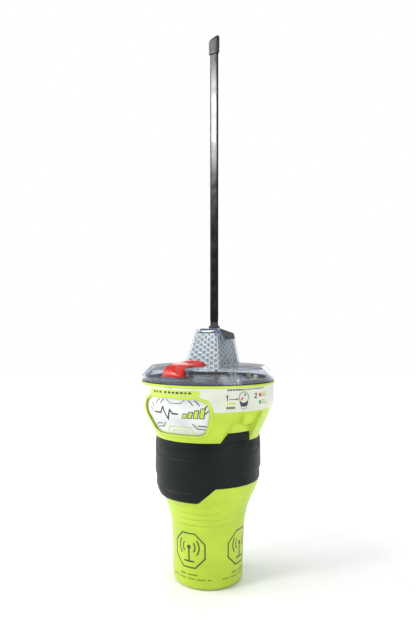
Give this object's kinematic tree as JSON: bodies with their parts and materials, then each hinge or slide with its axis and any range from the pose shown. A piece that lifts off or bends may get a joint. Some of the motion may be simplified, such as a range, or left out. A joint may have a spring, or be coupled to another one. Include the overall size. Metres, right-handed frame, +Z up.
{
  "type": "emergency position beacon",
  "caption": "Handheld float beacon with a waisted hull, rubber grip, flared collar, clear cap with a light tower, covered buttons and a folding flat whip antenna.",
  "frame": {"origin": "centre of the flat base that the beacon stands on", "axes": "+Z up along the hull's axis, towards the antenna; -Y is the front with the thumb slide; +X is the side towards which the slide opens"},
  "size_m": [0.109, 0.109, 0.45],
  "materials": {
    "lime_shell": "satin moulded",
    "grip_rubber": "matt moulded",
    "seal_rubber": "matt",
    "steel": "plain",
    "spring_steel": "plain",
    "badge_foil": "metallised film",
    "label_film": "printed film",
    "navy_moulding": "moulded",
    "clear_cap": "clear moulded",
    "honeycomb_moulding": "metallised",
    "board_laminate": "laminate",
    "light_lens": "cast",
    "patch_ceramic": "fired",
    "brass_contact": "plated",
    "red_moulding": "moulded",
    "black_moulding": "moulded",
    "button_moulding": "moulded",
    "saddle_moulding": "moulded",
    "gasket_moulding": "moulded",
    "whip_coating": "sleeved",
    "tip_rubber": "moulded",
    "cell_can": "sleeved"
  },
  "bodies": {
    "case": {"hull": "lime_shell", "collar": "lime_shell", "grip_band": "grip_rubber", "neck_seal": "seal_rubber", "neck_screws": "steel", "water_contacts": "steel", "lanyard_eye": "steel", "front_badge": "badge_foil", "rear_badge": "badge_foil", "wrap_label": "label_film", "deck_plate": "navy_moulding", "cap_seal": "seal_rubber", "lens_cap": "clear_cap", "cap_screws": "steel", "reflector": "honeycomb_moulding", "light_board": "board_laminate", "strobe_lights": "light_lens", "side_lights": "light_lens", "patch_tray": "steel", "satellite_patch": "patch_ceramic", "patch_pin": "brass_contact", "slide_rail": "black_moulding", "on_spring": "spring_steel", "test_spring": "spring_steel", "button_bezel": "black_moulding", "antenna_saddle": "saddle_moulding", "saddle_gasket": "gasket_moulding", "antenna_pin": "steel", "detent_spring": "spring_steel", "antenna_lead": "brass_contact", "chassis_frame": "black_moulding", "radio_board": "board_laminate", "logic_board": "board_laminate", "screening_cans": "steel", "board_parts": "black_moulding", "battery_tray": "black_moulding", "battery_cells": "cell_can", "battery_straps": "steel"},
    "antenna": {"antenna_knuckle": "black_moulding", "antenna_blade": "whip_coating", "antenna_tip": "tip_rubber"},
    "cover": {"thumb_cap": "red_moulding", "slide_carrier": "clear_cap"},
    "on_key": {"on_button": "button_moulding"},
    "test_key": {"test_button": "button_moulding"}
  },
  "joints": [
    {"name": "antenna_fold", "type": "hinge", "parent": "case", "child": "antenna", "pos_m": [0, 0.01, 0.197], "axis": [-1, 0, 0], "range_deg": [0, 90]},
    {"name": "cover_slide", "type": "hinge", "parent": "case", "child": "cover", "pos_m": [0, 0, 0.174], "axis": [0, 0, 1], "range_deg": [0, 33]},
    {"name": "on_press", "type": "slide", "parent": "case", "child": "on_key", "axis": [0, 0, -1], "range_m": [0, 0.0012], "stiffness_N_per_m": 500, "springref_m": -0.001, "deforming": ["on_spring"]},
    {"name": "test_press", "type": "slide", "parent": "case", "child": "test_key", "axis": [0, 0, -1], "range_m": [0, 0.0012], "stiffness_N_per_m": 400, "springref_m": -0.001, "deforming": ["test_spring"]}
  ]
}
